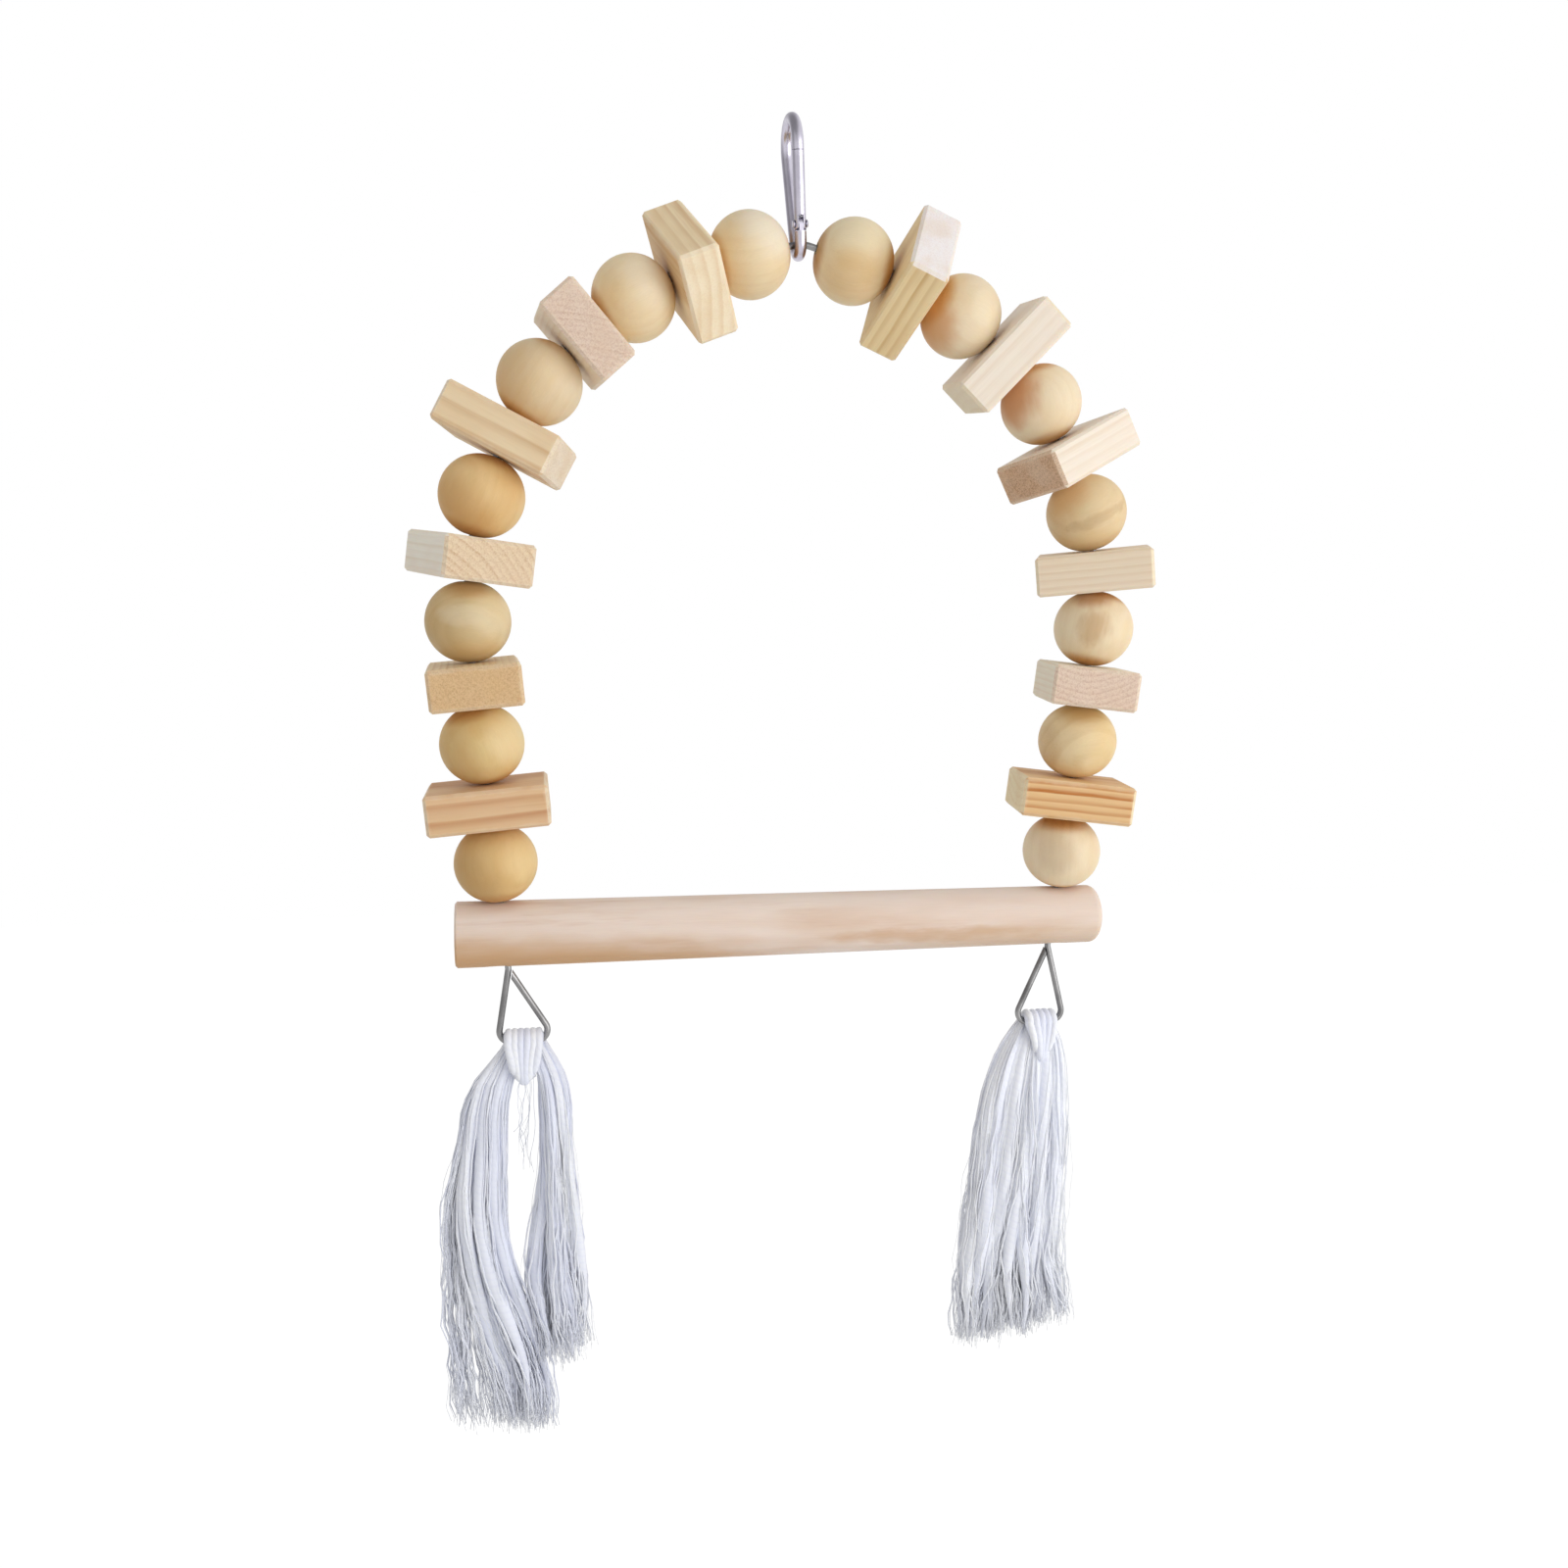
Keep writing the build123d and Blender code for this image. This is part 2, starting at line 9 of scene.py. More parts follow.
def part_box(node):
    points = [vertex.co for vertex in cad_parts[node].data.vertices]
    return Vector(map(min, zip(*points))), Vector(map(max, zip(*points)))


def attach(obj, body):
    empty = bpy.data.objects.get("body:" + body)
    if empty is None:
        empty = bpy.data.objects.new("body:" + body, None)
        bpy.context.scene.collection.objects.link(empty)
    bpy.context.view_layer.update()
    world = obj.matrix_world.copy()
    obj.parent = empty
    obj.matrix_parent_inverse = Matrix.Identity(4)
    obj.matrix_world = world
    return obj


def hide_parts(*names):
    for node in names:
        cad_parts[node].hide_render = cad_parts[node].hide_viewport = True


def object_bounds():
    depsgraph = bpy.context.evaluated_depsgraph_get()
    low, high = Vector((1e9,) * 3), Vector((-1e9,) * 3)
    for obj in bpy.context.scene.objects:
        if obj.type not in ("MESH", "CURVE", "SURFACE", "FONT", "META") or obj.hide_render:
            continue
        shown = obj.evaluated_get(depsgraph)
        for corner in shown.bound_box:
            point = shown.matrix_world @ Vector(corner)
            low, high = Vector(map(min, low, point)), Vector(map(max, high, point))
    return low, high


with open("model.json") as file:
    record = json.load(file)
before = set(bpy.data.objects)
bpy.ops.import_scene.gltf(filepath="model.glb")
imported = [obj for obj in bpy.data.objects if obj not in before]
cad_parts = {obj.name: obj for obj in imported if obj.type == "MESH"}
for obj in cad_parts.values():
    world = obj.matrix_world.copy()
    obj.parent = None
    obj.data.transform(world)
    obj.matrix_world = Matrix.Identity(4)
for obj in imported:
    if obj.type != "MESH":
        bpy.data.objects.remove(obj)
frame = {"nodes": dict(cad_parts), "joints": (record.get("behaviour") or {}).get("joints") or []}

cad_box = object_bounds()
joints = {joint["name"]: joint for joint in frame["joints"]}
mm = 0.001

# Camera, found from the places of the beads and the perch in the photograph
camera_place = Vector((-79.6, -416.0, -126.4)) * mm
camera_heading_deg = -11.066
camera_tilt_deg = -9.006
camera_roll_deg = -1.105
camera_lens = 31.5
camera_sensor = 36.0

# Light: a broad soft lamp at the right, a weak one at the left, and a white room that is a little
# brighter from above and, in gloss alone, dim at its upper left
key_place = Vector((540.0, -560.0, -140.0)) * mm
key_size = 760.0 * mm
key_watts = 3.7
fill_place = Vector((-620.0, -420.0, 60.0)) * mm
fill_size = 600.0 * mm
fill_watts = 0.35
room_light = 0.53
room_lift = 0.3
dim_side = Vector((-0.6, -0.1, 0.8)).normalized()
dim_range = (0.1, 0.9)
dim_level = 0.3
floor_height = -1000.0 * mm
floor_size = 6000.0 * mm
floor_colour_level = 0.85
floor_roughness = 0.9
floor_white_share = 0.86
floor_white = 1.12

# Wood. Rates are features to the metre, along the grain and twice across it. A range is the part of a
# noise over which something comes in, and a line is a gain and a start.
block_half = Vector((18.0, 13.5, 6.2)) * mm
ring_drift_rate = (14.0, 70.0, 70.0)
season_stops = ((0.0, 0.0), (0.4, 0.2), (0.78, 1.0), (0.9, 0.8), (1.0, 0.0))
year_line = (0.6, 0.4)
ring_break_line = (0.9, 0.5)
ring_dip = -0.5
fibre_rate = (130.0, 3600.0, 3600.0)
fibre_tone_line = (0.12, 0.93)
pore_rate = (300.0, 2300.0, 2300.0)
pore_range = (0.42, 0.68)
streak_range = (0.5, 0.8)
streak_roughness = 0.2
patch_range = (0.42, 0.7)
spot_edge_rate = (80.0, 240.0, 240.0)
# Edges of the blocks, rubbed and paler: partly wear and partly a painted highlight on the edges
rub_and_highlight_rate = (260.0, 260.0, 260.0)
wear_and_highlight_reach_line = (2.08 * mm, 0.39 * mm)
wear_and_highlight_share = 0.45
wear_dip = -0.6
wood_bump_depth = 0.16 * mm
wood_specular = 0.3
wood_depth = 2.5 * mm
wood_glow = (1.0, 0.5, 0.2)
bead_seed = 900
right_bead_order = 10
grain_lean = 0.14

# Metal
cloud_rate = (180.0, 180.0, 90.0)
cloud_range = (0.35, 0.7)
cloud_roughness = 0.08
scratch_roughness = 0.14
smoother_by = 0.1
metal_bump = 0.04
metal_bump_depth = 0.03 * mm

# Cotton: colours as 8-bit levels
cotton_white = (253, 254, 255)
cotton_blue = (230, 234, 252)
# Painted shade in the grooves between the plies
cotton_groove_shade = (226, 229, 248)
ply_count = 2.0
ply_height = 0.4
groove_shade_range = (-1.0, -0.1)
groove_shade_share = 0.2
fluff_rate = (2600.0, 2600.0, 1300.0)
tint_rate = (110.0, 110.0, 45.0)
tint_share = 0.5
tone_share = 0.6
cotton_bump = 0.3
cotton_bump_depth = 0.12 * mm
cotton_sheen = 0.3
cotton_sheen_roughness = 0.5
cotton_roughness = 0.92
cotton_specular = 0.2

# Yarn of the tassels
yarn_diameter = 0.6 * mm
yarn_sides = 4
yarn_points = 28
yarn_lay = 2.4 * mm
crimp_length = 14.0
wander_size = 1.6
wander_power = 0.8
golden_angle = math.pi * (3 - math.sqrt(5))
lock_inset_share = 0.7
lock_scatter = 0.05
lock_waves = (0.6, 1.1, 1.9)
lock_tone_spread = 0.6
core_sides = 10
core_fill_share = 0.85
core_taper_share = 0.3
core_tip_share = 0.1
core_taper_power = 0.7
strand_waves = (0.9, 2.3, 3.6)
strand_reach = (0.7, 1.1)
strand_thickness = (0.6, 1.2)
strand_tone_spread = 0.4
tip_parts = 5
tip_thinning = 0.6
fibre_diameter = 0.16 * mm
fibre_sides = 3
fray_points = (5, 9)
fray_power = 1.5
fray_spread = 1.3 * mm
fray_shares = (1, 1, 0.5)
fray_length = 2.0 * mm
fray_tone = (0.5, 1.0)
loose_first = 4
loose_points = 14
loose_margin = 2
loose_start_angle = 0.1
loose_spread = 1.2 * mm
loose_shares = (1, 1, 0.3)
loose_tone = 1.0

# Band of the hitch
band_diameter = 2.3 * mm
band_layers = 2
band_radius = 2.2 * mm
band_layer_step = 0.9 * mm
band_layer_narrowing = 0.06
band_turn_start = -0.5
band_turn_points = 18
band_front_points = 14
band_point_share = 0.3
band_inner_rise = 0.8 * mm
band_belly = 1.3 * mm
band_belly_share = 0.75
band_tuck_back = np.array((0.6, 1.9, 3.2)) * mm
band_tuck_down = np.array((0.8, 1.0, 0.5)) * mm
band_wobble = 0.15 * mm
band_wobble_turn = 9
band_wobble_phase = 6
band_scatter = 0.35 * mm


def srgb(red, green, blue):
    """Linear colour of the one that a screen shows as these 8-bit levels."""
    levels = []
    for level in (red / 255, green / 255, blue / 255):
        levels.append(level / 12.92 if level <= 0.04045 else ((level + 0.055) / 1.055) ** 2.4)
    return (*levels, 1.0)


class Shader:
    """The node tree of a material or a world, with one short call for each kind of node."""

    def __init__(self, owner, surface):
        owner.use_nodes = True
        self.owner = owner
        self.tree = owner.node_tree
        self.surface = self.tree.nodes[surface]

    @classmethod
    def material(cls, name):
        return cls(bpy.data.materials.new(name), "Principled BSDF")

    def put(self, socket, value):
        if isinstance(value, bpy.types.NodeSocket):
            self.tree.links.new(value, socket)
        else:
            socket.default_value = value

    def node(self, kind, inputs, **settings):
        node = self.tree.nodes.new("ShaderNode" + kind)
        for name, value in settings.items():
            setattr(node, name, value)
        for name, value in dict(inputs).items():
            self.put(node.inputs[name], value)
        return node

    def math(self, operation, *values, clamp=False):
        return self.node("Math", enumerate(values), operation=operation, use_clamp=clamp).outputs[0]

    def line(self, value, gain, start, clamp=False):
        """A value times a gain, counted from a start."""
        return self.math("MULTIPLY_ADD", value, gain, start, clamp=clamp)

    def vector(self, operation, *values):
        node = self.node("VectorMath", enumerate(values), operation=operation)
        return node.outputs["Value" if operation == "DOT_PRODUCT" else "Vector"]

    def noise(self, place, rates, detail=2.0, roughness=0.5):
        """A noise whose features are counted to the metre along each axis."""
        inputs = {"Vector": self.vector("MULTIPLY", place, rates), "Scale": 1.0}
        return self.node("TexNoise", {**inputs, "Detail": detail, "Roughness": roughness}).outputs[0]

    def mix(self, factor, first, second, blend="MIX"):
        node = self.node("Mix", {0: factor, 6: first, 7: second}, data_type="RGBA", blend_type=blend)
        return node.outputs[2]

    def between(self, factor, first, second):
        return self.node("Mix", {0: factor, 2: first, 3: second}).outputs[0]

    def step(self, value, low, high, first=0.0, last=1.0):
        inputs = {0: value, 1: low, 2: high, 3: first, 4: last}
        return self.node("MapRange", inputs, interpolation_type="SMOOTHSTEP").outputs[0]

    def ramp(self, value, stops):
        node = self.node("ValToRGB", {0: value})
        elements = node.color_ramp.elements
        for _ in stops[2:]:
            elements.new(0.5)
        for element, (place, level) in zip(elements, stops):
            element.position = place
            element.color = (level, level, level, 1)
        return node.outputs[0]

    def place(self, centre, axes):
        """The surface's place along the piece's own axes, from its middle."""
        inputs = {"Vector": self.node("TexCoord", {}).outputs["Object"], "Location": centre}
        node = self.node("Mapping", inputs, vector_type="TEXTURE")
        node.inputs["Rotation"].default_value = axes.to_euler()
        return node.outputs[0]

    def facing(self, direction):
        """How squarely the surface faces along a direction, either way."""
        normal = self.node("TexCoord", {}).outputs["Normal"]
        return self.math("ABSOLUTE", self.vector("DOT_PRODUCT", normal, direction))

    def bump(self, height, strength, distance):
        inputs = {"Height": height, "Strength": strength, "Distance": distance}
        self.put(self.surface.inputs["Normal"], self.node("Bump", inputs).outputs[0])

    def finish(self, **values):
        for name, value in values.items():
            self.put(self.surface.inputs[name.replace("_", " ")], value)
        return self.owner


def growth_rings(shader, place, look):
    """0 in the early wood of each year, up to 1 in its late wood."""
    drift = shader.noise(place, ring_drift_rate, detail=3.0)
    split = shader.node("SeparateXYZ", {0: place})
    across = shader.math("SUBTRACT", split.outputs[1], look["pith"][0] * mm)
    through = shader.math("SUBTRACT", split.outputs[2], look["pith"][1] * mm)
    squares = shader.math("ADD", shader.math("POWER", across, 2.0), shader.math("POWER", through, 2.0))
    radius = shader.line(drift, look["wander"] * mm, shader.math("SQRT", squares))
    year = shader.math("DIVIDE", radius, look["spacing"] * mm)
    late = shader.ramp(shader.math("FRACT", year), season_stops)
    width = shader.node("TexWhiteNoise", {"W": shader.math("FLOOR", year)}, noise_dimensions="1D")
    return shader.math("MULTIPLY", late, shader.line(width.outputs[0], *year_line))


def wood(name, centre, axes, look, box=None):
    """Raw wood: rings round the pith, grain fibres, speckled end grain, spots mostly of painted light and
    shade, and edges paler by wear and painted highlight.
    """
    shader = Shader.material(name)
    place = shader.place(centre, axes)
    rings = growth_rings(shader, place, look)
    streaks = shader.noise(place, look["streak_rate"], detail=4.0, roughness=0.62)
    fibres = shader.noise(place, fibre_rate, detail=3.0, roughness=0.6)
    pores = shader.noise(place, pore_rate, detail=3.0, roughness=0.7)
    patches = shader.noise(place, look["patch_rate"])

    depth = shader.math("MULTIPLY", rings, shader.line(streaks, *ring_break_line))
    depth = shader.math("MULTIPLY", depth, look["contrast"])
    depth = shader.math("ADD", depth, shader.step(streaks, *streak_range, 0.0, look["streak"]), clamp=True)
    long_grain = shader.mix(depth, srgb(*look["pale"]), srgb(*look["dark"]))
    speckle = shader.step(pores, *pore_range, 0.0, look["speckle"])
    cut = shader.line(rings, look["end_contrast"], speckle, clamp=True)
    end_grain = shader.mix(cut, srgb(*look["end_pale"]), srgb(*look["end_dark"]))
    # Ends along the grain; on the beads their darker colour is also painted shade where a bead meets its
    # blocks
    ends = shader.step(shader.facing(axes.col[0]), *look["end_range"])
    colour = shader.mix(ends, long_grain, end_grain)
    patch = shader.step(patches, *patch_range, 0.0, look["patch"])
    colour = shader.mix(patch, colour, srgb(*look["warm"]))
    # Spots, mostly painted highlights and painted shade
    for spot in look["spots"]:
        colour = shader.mix(spot_share(shader, place, axes, spot), colour, srgb(*spot["colour"]))
    colour = shader.mix(1.0, colour, shader.line(fibres, *fibre_tone_line), "MULTIPLY")

    height = shader.line(rings, ring_dip, shader.math("ADD", fibres, streaks))
    height = shader.between(ends, height, pores)
    if box is not None:
        colour, height = worn_and_lit_edges(shader, place, box, colour, height, look)
    shader.bump(height, look["bump"], wood_bump_depth)
    return shader.finish(
        Base_Color=colour, Roughness=shader.line(streaks, streak_roughness, look["roughness"]),
        Specular_IOR_Level=wood_specular, Subsurface_Weight=look["glow"],
        Subsurface_Radius=wood_glow, Subsurface_Scale=wood_depth,
    )


def spot_share(shader, place, axes, spot):
    """How much of a spot's colour shows: full in its middle, with a ragged edge."""
    direction = axes.transposed() @ Vector(spot["towards"]).normalized()
    seen = shader.vector("NORMALIZE", shader.vector("MULTIPLY", place, spot["squeeze"]))
    towards = shader.vector("DOT_PRODUCT", seen, tuple(direction))
    near = shader.line(shader.noise(place, spot_edge_rate, detail=3.0), spot["ragged"], towards)
    edge, core = math.cos(math.radians(spot["edge_deg"])), math.cos(math.radians(spot["core_deg"]))
    middle_rag = spot["ragged"] / 2
    return shader.step(near, edge + middle_rag, core + middle_rag, 0.0, spot["strength"])


def worn_and_lit_edges(shader, place, box, colour, height, look):
    """Sanded edges: a little softer along the corners of a block, and paler there, partly wear and partly a
    painted highlight.
    """
    split = shader.node("SeparateXYZ", {0: shader.vector("ABSOLUTE", place)})
    gaps = [shader.math("SUBTRACT", half, split.outputs[index]) for index, half in enumerate(box)]
    total = shader.math("ADD", shader.math("ADD", gaps[0], gaps[1]), gaps[2])
    largest = shader.math("MAXIMUM", shader.math("MAXIMUM", gaps[0], gaps[1]), gaps[2])
    edge_gap = shader.math("SUBTRACT", total, largest)
    reach = shader.line(shader.noise(place, rub_and_highlight_rate), *wear_and_highlight_reach_line)
    wear_and_highlight = shader.math("SUBTRACT", 1.0, shader.math("DIVIDE", edge_gap, reach), clamp=True)
    # Paler edges: partly wear, partly a painted highlight
    colour = shader.mix(shader.math("MULTIPLY", wear_and_highlight, wear_and_highlight_share), colour, srgb(*look["worn_and_lit_colour"]))
    return colour, shader.line(wear_and_highlight, wear_dip, height)


def metal(name, colour, tint, roughness, scratch_rate):
    """Plated or drawn steel: cloudy patches, fine scratches and uneven gloss."""
    shader = Shader.material(name)
    place = shader.node("TexCoord", {}).outputs["Object"]
    clouds = shader.noise(place, cloud_rate, detail=4.0)
    scratches = shader.noise(place, scratch_rate, detail=3.0, roughness=0.7)
    colours = shader.mix(shader.step(clouds, *cloud_range), srgb(*colour), srgb(*tint))
    gloss = shader.line(scratches, scratch_roughness, roughness - smoother_by)
    gloss = shader.line(clouds, cloud_roughness, gloss)
    shader.bump(scratches, metal_bump, metal_bump_depth)
    return shader.finish(Base_Color=colours, Roughness=gloss, Metallic=1.0)


def yarn(name):
    """White cotton: plies laid round each strand, fluffy, faintly blue, with painted shade in the grooves
    between the plies.
    """
    shader = Shader.material(name)
    along_strand = shader.node("UVMap", {}, uv_map="strand").outputs[0]
    split = shader.node("SeparateXYZ", {0: along_strand})
    turns = shader.math("ADD", split.outputs[0], shader.math("MULTIPLY", split.outputs[1], ply_count))
    plies = shader.math("SINE", shader.math("MULTIPLY", turns, 2 * math.pi))
    place = shader.node("TexCoord", {}).outputs["Object"]
    fluff = shader.noise(place, fluff_rate, detail=3.0, roughness=0.7)
    tone = shader.node("Attribute", {}, attribute_name="tone").outputs["Fac"]
    tone = shader.math("MULTIPLY", tone, tone_share)
    lightness = shader.line(shader.noise(place, tint_rate), tint_share, tone, clamp=True)
    colour = shader.mix(lightness, srgb(*cotton_blue), srgb(*cotton_white))
    # Painted shade: a darker, bluer colour in the grooves between the plies
    groove_shade = shader.math("MULTIPLY", shader.step(plies, *groove_shade_range, 1.0, 0.0), groove_shade_share)
    colour = shader.mix(groove_shade, colour, srgb(*cotton_groove_shade))
    shader.bump(shader.line(plies, ply_height, fluff), cotton_bump, cotton_bump_depth)
    return shader.finish(
        Base_Color=colour, Roughness=cotton_roughness, Specular_IOR_Level=cotton_specular,
        Sheen_Weight=cotton_sheen, Sheen_Roughness=cotton_sheen_roughness,
    )


def dress(node, material):
    """Gives a CAD node its material."""
    piece = frame["nodes"][node]
    piece.data.materials.clear()
    piece.data.materials.append(material)


def middle(node):
    low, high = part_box(node)
    return (Vector(low) + Vector(high)) / 2


def block_axes(node):
    """Columns along a block's grain, its width and the wire."""
    wire = Vector(joints[f"{node}_spin"]["axis"]).normalized()
    points = np.array([vertex.co for vertex in frame["nodes"][node].data.vertices])
    points = points - points.mean(axis=0)
    points = points - np.outer(points @ np.array(wire), np.array(wire))
    grain = Vector(np.linalg.svd(points, full_matrices=False)[2][0])
    grain = (grain - wire * grain.dot(wire)).normalized()
    across = wire.cross(grain)
    return Matrix((grain, across, wire)).transposed()


def bead_axes(node, order, look):
    """Columns along a bead's grain, which lies near the wire or, where the look says so, across it."""
    generator = np.random.default_rng(bead_seed + order)
    wire = Vector(joints[f"{node}_spin"]["axis"]).normalized()
    grain = Vector(look["grain"]).normalized() if "grain" in look else wire
    grain = (grain + Vector(generator.normal(0, grain_lean, 3))).normalized()
    across = grain.cross(Vector(generator.normal(0, 1, 3))).normalized()
    return Matrix((grain, across, grain.cross(across))).transposed()


# Looks of the wood: colours as 8-bit levels, lengths in millimetres, rates in features to the metre
# The pale edge colour of the blocks is partly wear and partly a painted highlight
plain_wood = dict(
    pale=(238, 216, 178), dark=(204, 160, 104), warm=(222, 184, 130), end_pale=(234, 214, 184),
    end_dark=(196, 158, 118), worn_and_lit_colour=(246, 234, 212), pith=(9.0, 70.0), spacing=2.9, wander=2.2,
    contrast=0.6, end_contrast=0.3, streak=0.25, speckle=0.4, patch=0.25, end_range=(0.55, 0.75),
    streak_rate=(22.0, 620.0, 620.0), patch_rate=(45.0, 95.0, 95.0), spots=(), glow=0.15,
    bump=0.3, roughness=0.5,
)
striped_wood = dict(plain_wood, pale=(238, 210, 164), dark=(192, 138, 76), contrast=0.95, streak=0.35)
pale_wood = dict(
    plain_wood, pale=(245, 233, 217), dark=(226, 202, 174), warm=(238, 220, 198), contrast=0.45,
    streak=0.2, end_pale=(240, 226, 196), end_dark=(222, 198, 158), speckle=0.25,
)
pink_wood = dict(
    plain_wood, pale=(241, 224, 198), dark=(220, 188, 152), warm=(228, 198, 170),
    end_pale=(236, 214, 194), end_dark=(196, 156, 132), contrast=0.4, end_contrast=0.5, speckle=0.5,
)
# Bead end colours are dark and their range narrow: the poles, where a bead meets its blocks, show end grain
# and painted contact shade
bead_wood = dict(
    plain_wood, pale=(240, 219, 180), dark=(212, 172, 114), warm=(230, 196, 140), end_pale=(208, 156, 94),
    end_dark=(168, 112, 60), pith=(34.0, 6.0), spacing=3.0, wander=3.4, contrast=0.14, end_contrast=0.3,
    streak=0.14, speckle=0.3, patch=0.35, patch_rate=(60.0, 75.0, 75.0), end_range=(0.7, 0.93), glow=0.3,
    bump=0.08, roughness=0.42,
)
warm_bead = dict(bead_wood, pale=(232, 198, 142), dark=(206, 160, 98), warm=(222, 178, 114))
pale_bead = dict(bead_wood, pale=(240, 222, 190), dark=(220, 190, 144), warm=(232, 204, 158))
perch_wood = dict(
    plain_wood, pale=(238, 221, 208), dark=(204, 166, 138), warm=(218, 186, 160), end_pale=(228, 202, 178),
    end_dark=(190, 150, 116), pith=(3.0, -34.0), spacing=5.0, wander=9.0, contrast=0.14, streak=0.4,
    streak_rate=(26.0, 260.0, 260.0), patch=0.6, patch_rate=(16.0, 70.0, 70.0), end_range=(0.75, 0.9),
    bump=0.22, roughness=0.48,
)
block_looks = {
    "left_block_1": dict(
        striped_wood, pale=(250, 228, 188), dark=(206, 158, 100), spacing=3.3, contrast=0.75, speckle=0.15,
        end_pale=(252, 236, 206), end_dark=(220, 180, 128), end_contrast=0.55,
    ),
    "left_block_2": dict(pink_wood, pith=(40.0, 44.0), spacing=1.7, end_contrast=0.26),
    "left_block_3": dict(
        striped_wood, pale=(244, 220, 182), dark=(206, 160, 108), pith=(-12.0, 60.0), spacing=5.2,
        contrast=0.7, end_contrast=0.1, end_pale=(244, 228, 204),
    ),
    "left_block_4": dict(
        pink_wood, pale=(247, 240, 225), dark=(226, 206, 176), pith=(26.0, 30.0), spacing=2.0,
        end_contrast=0.5, end_pale=(238, 216, 184), end_dark=(202, 164, 124),
    ),
    "left_block_5": dict(
        plain_wood, pith=(50.0, -50.0), spacing=1.5, end_pale=(226, 192, 146), end_dark=(184, 138, 92),
        speckle=0.55, end_contrast=0.15,
    ),
    "left_block_6": dict(striped_wood, pale=(230, 194, 152), dark=(192, 128, 82), spacing=4.6, contrast=0.8),
    "right_block_1": dict(
        striped_wood, pale=(246, 222, 174), dark=(206, 164, 102), contrast=0.7, end_pale=(248, 242, 240),
        end_dark=(230, 214, 206), end_contrast=0.1,
    ),
    "right_block_2": dict(pale_wood, spacing=3.4),
    "right_block_3": dict(
        pale_wood, end_pale=(220, 184, 150), end_dark=(164, 120, 88), end_contrast=0.1, speckle=0.8,
    ),
    "right_block_4": dict(pale_wood, pale=(240, 222, 196), dark=(216, 182, 142), spacing=2.2),
    "right_block_5": dict(pink_wood, pale=(242, 234, 212), pith=(4.0, -22.0), spacing=1.8, end_contrast=0.34),
    "right_block_6": dict(
        striped_wood, pale=(236, 198, 146), dark=(188, 112, 44), pith=(6.0, -44.0), spacing=2.8, wander=4.0,
        end_pale=(244, 228, 190), end_dark=(222, 190, 138),
    ),
}


def tone_and_light_spot(towards, colour, edge_deg, core_deg, strength, ragged=0.3, squeeze=(1.0, 1.0, 1.0)):
    """A spot of another colour on a piece, seen from its middle in one direction; most are painted highlights
    and painted shade, a few are marks of the wood.
    """
    return dict(
        towards=towards, colour=colour, edge_deg=edge_deg, core_deg=core_deg, strength=strength,
        ragged=ragged, squeeze=squeeze,
    )


# Spots of the beads and the perch, most of them painted light and shade. A squeeze under 1 along the grain
# draws a spot out to a streak.
# Directions of the painted highlights and the painted shade on the beads
lit_side = (0.7, -0.6, 0.3)
shaded_side = (-0.7, -0.6, -0.5)
broad_streak = (0.25, 1.0, 1.0)
long_streak = (0.15, 1.0, 1.0)
along_perch = (0.08, 1.0, 1.0)
